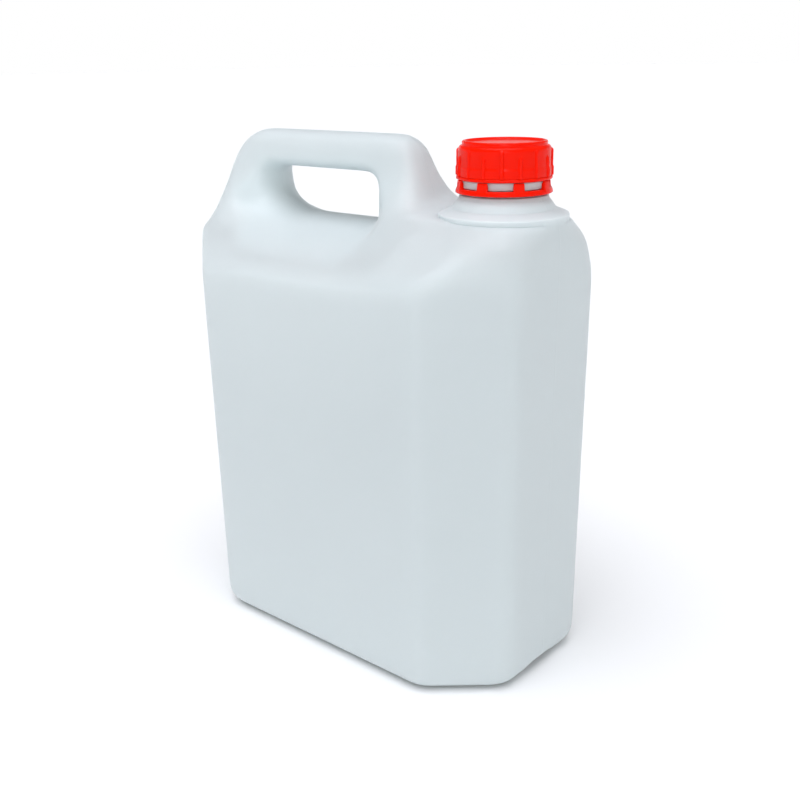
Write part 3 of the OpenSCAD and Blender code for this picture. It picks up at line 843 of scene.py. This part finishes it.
class JERRYCAN_OT_stage(bpy.types.Operator):
    """Makes the pale floor, a soft ceiling light, a weak front light, a narrow light for the hand hole
    and the camera at the photograph's viewing angle"""

    bl_idname = "jerrycan.make_stage"
    bl_label = "Stage"
    camera_at = (354.92, -396.82, 304.58)
    azimuth, pitch, roll = 41.0, 18.57, -0.93
    focal_px, frame_px, sensor = 1019.07, 800, 36.0

    def lamp(self, name, kind, at, settings, target=(0.0, 0.0, 0.0)):
        """A light that shines from a place towards the target."""
        light = bpy.data.lights.new(name, kind)
        for key, value in settings.items():
            setattr(light, key, value)
        lamp = bpy.data.objects.new(name, light)
        away = np.array(at) - np.array(target)
        away = away / np.linalg.norm(away)
        side = np.cross((0, 0, 1), away)
        side = side / np.linalg.norm(side)
        up = np.cross(away, side)
        lamp.matrix_world = Matrix((
            (side[0], up[0], away[0], at[0]), (side[1], up[1], away[1], at[1]),
            (side[2], up[2], away[2], at[2]), (0, 0, 0, 1)))
        bpy.context.scene.collection.objects.link(lamp)

    def sky(self, tree):
        """White light: bright along the horizon, dimmer above it, and a little brighter overhead and on
        the side of the neck."""
        way = add_node(tree, "ShaderNodeTexCoord", output="Generated")
        x = add_node(tree, "ShaderNodeSeparateXYZ", {}, [way], "X")
        z = add_node(tree, "ShaderNodeSeparateXYZ", {}, [way], "Z")
        above = smooth_range(tree, z, 0.08, 0.3, 1.0)
        strength = 1 - above * (0.85 - smooth_range(tree, x, 0.1, 0.9, 0.2))
        strength = strength + smooth_range(tree, z, 0.4, 1.0, 0.2)
        tree.links.new(strength.socket, tree.nodes["Background"].inputs["Strength"])
        tree.nodes["Background"].inputs["Color"].default_value = (1, 1, 1, 1)

    def camera(self):
        """The camera fitted to the photograph: azimuth, pitch and roll in degrees, place in millimetres."""
        a, e, r = np.radians((self.azimuth, self.pitch, self.roll))
        ahead = np.array((-np.sin(a) * np.cos(e), np.cos(a) * np.cos(e), -np.sin(e)))
        right = np.array((np.cos(a), np.sin(a), 0))
        up = np.cross(right, ahead)
        side = right * np.cos(r) + up * np.sin(r)
        top = up * np.cos(r) - right * np.sin(r)
        at = np.array(self.camera_at) * MM
        lens = bpy.data.cameras.new("camera")
        lens.sensor_width = self.sensor
        lens.lens = self.focal_px / self.frame_px * self.sensor
        view = bpy.data.objects.new("camera", lens)
        view.matrix_world = Matrix((
            (side[0], top[0], -ahead[0], at[0]), (side[1], top[1], -ahead[1], at[1]),
            (side[2], top[2], -ahead[2], at[2]), (0, 0, 0, 1)))
        bpy.context.scene.collection.objects.link(view)
        bpy.context.scene.camera = view

    def execute(self, context):
        reach = 30.0
        floor = bpy.data.meshes.new("floor")
        floor.from_pydata([(-reach, -reach, 0), (reach, -reach, 0), (reach, reach, 0), (-reach, reach, 0)],
                          [], [(0, 1, 2, 3)])
        floor.materials.append(floor_paper(context.scene.finishes.floor))
        place("floor", floor)
        world = bpy.data.worlds.new("studio")
        world.use_nodes = True
        self.sky(world.node_tree)
        context.scene.world = world
        context.scene.view_settings.view_transform = "Standard"
        self.lamp("ceiling", "SUN", (0.05, -0.25, 1.0),
                  {"energy": 2.5, "angle": math.radians(60), "color": (0.98, 0.99, 1.05)})
        self.lamp("front", "SUN", (0.5, -0.75, 0.3), {"energy": 0.45, "angle": math.radians(14)})
        self.lamp("snoot", "SPOT", (0.7, -0.75, 0.42),
                  {"energy": 22.0, "spot_size": math.radians(6.0), "spot_blend": 1.0, "shadow_soft_size": 0.08},
                  (-0.075, 0.0, 0.228))
        self.camera()
        return {"FINISHED"}


class JERRYCAN_PT_panel(bpy.types.Panel):
    """Lists the steps that make the jerrycan"""

    bl_idname = "JERRYCAN_PT_panel"
    bl_label = "Jerrycan"
    bl_space_type = "VIEW_3D"
    bl_region_type = "UI"
    bl_category = "Jerrycan"

    def draw(self, context):
        for step in STEPS:
            self.layout.operator(step.bl_idname)


GROUPS = {"can_sizes": CanSizes, "neck_sizes": NeckSizes, "cap_sizes": CapSizes, "finishes": Finishes}
STEPS = (JERRYCAN_OT_stage, JERRYCAN_OT_can, JERRYCAN_OT_band, JERRYCAN_OT_wad, JERRYCAN_OT_cap)


def register():
    """Registers the property groups, the steps and the panel."""
    for name, group in GROUPS.items():
        bpy.utils.register_class(group)
        setattr(bpy.types.Scene, name, bpy.props.PointerProperty(type=group))
    for step in (*STEPS, JERRYCAN_PT_panel):
        bpy.utils.register_class(step)


def unregister():
    """Takes them away again, in the opposite order."""
    for step in reversed((*STEPS, JERRYCAN_PT_panel)):
        bpy.utils.unregister_class(step)
    for name, group in reversed(list(GROUPS.items())):
        delattr(bpy.types.Scene, name)
        bpy.utils.unregister_class(group)


def main():
    register()
    bpy.ops.jerrycan.make_stage()
    bpy.ops.jerrycan.make_can()
    bpy.ops.jerrycan.make_band()
    bpy.ops.jerrycan.finish_wad()
    bpy.ops.jerrycan.make_cap()


if __name__ == "__main__":
    main()
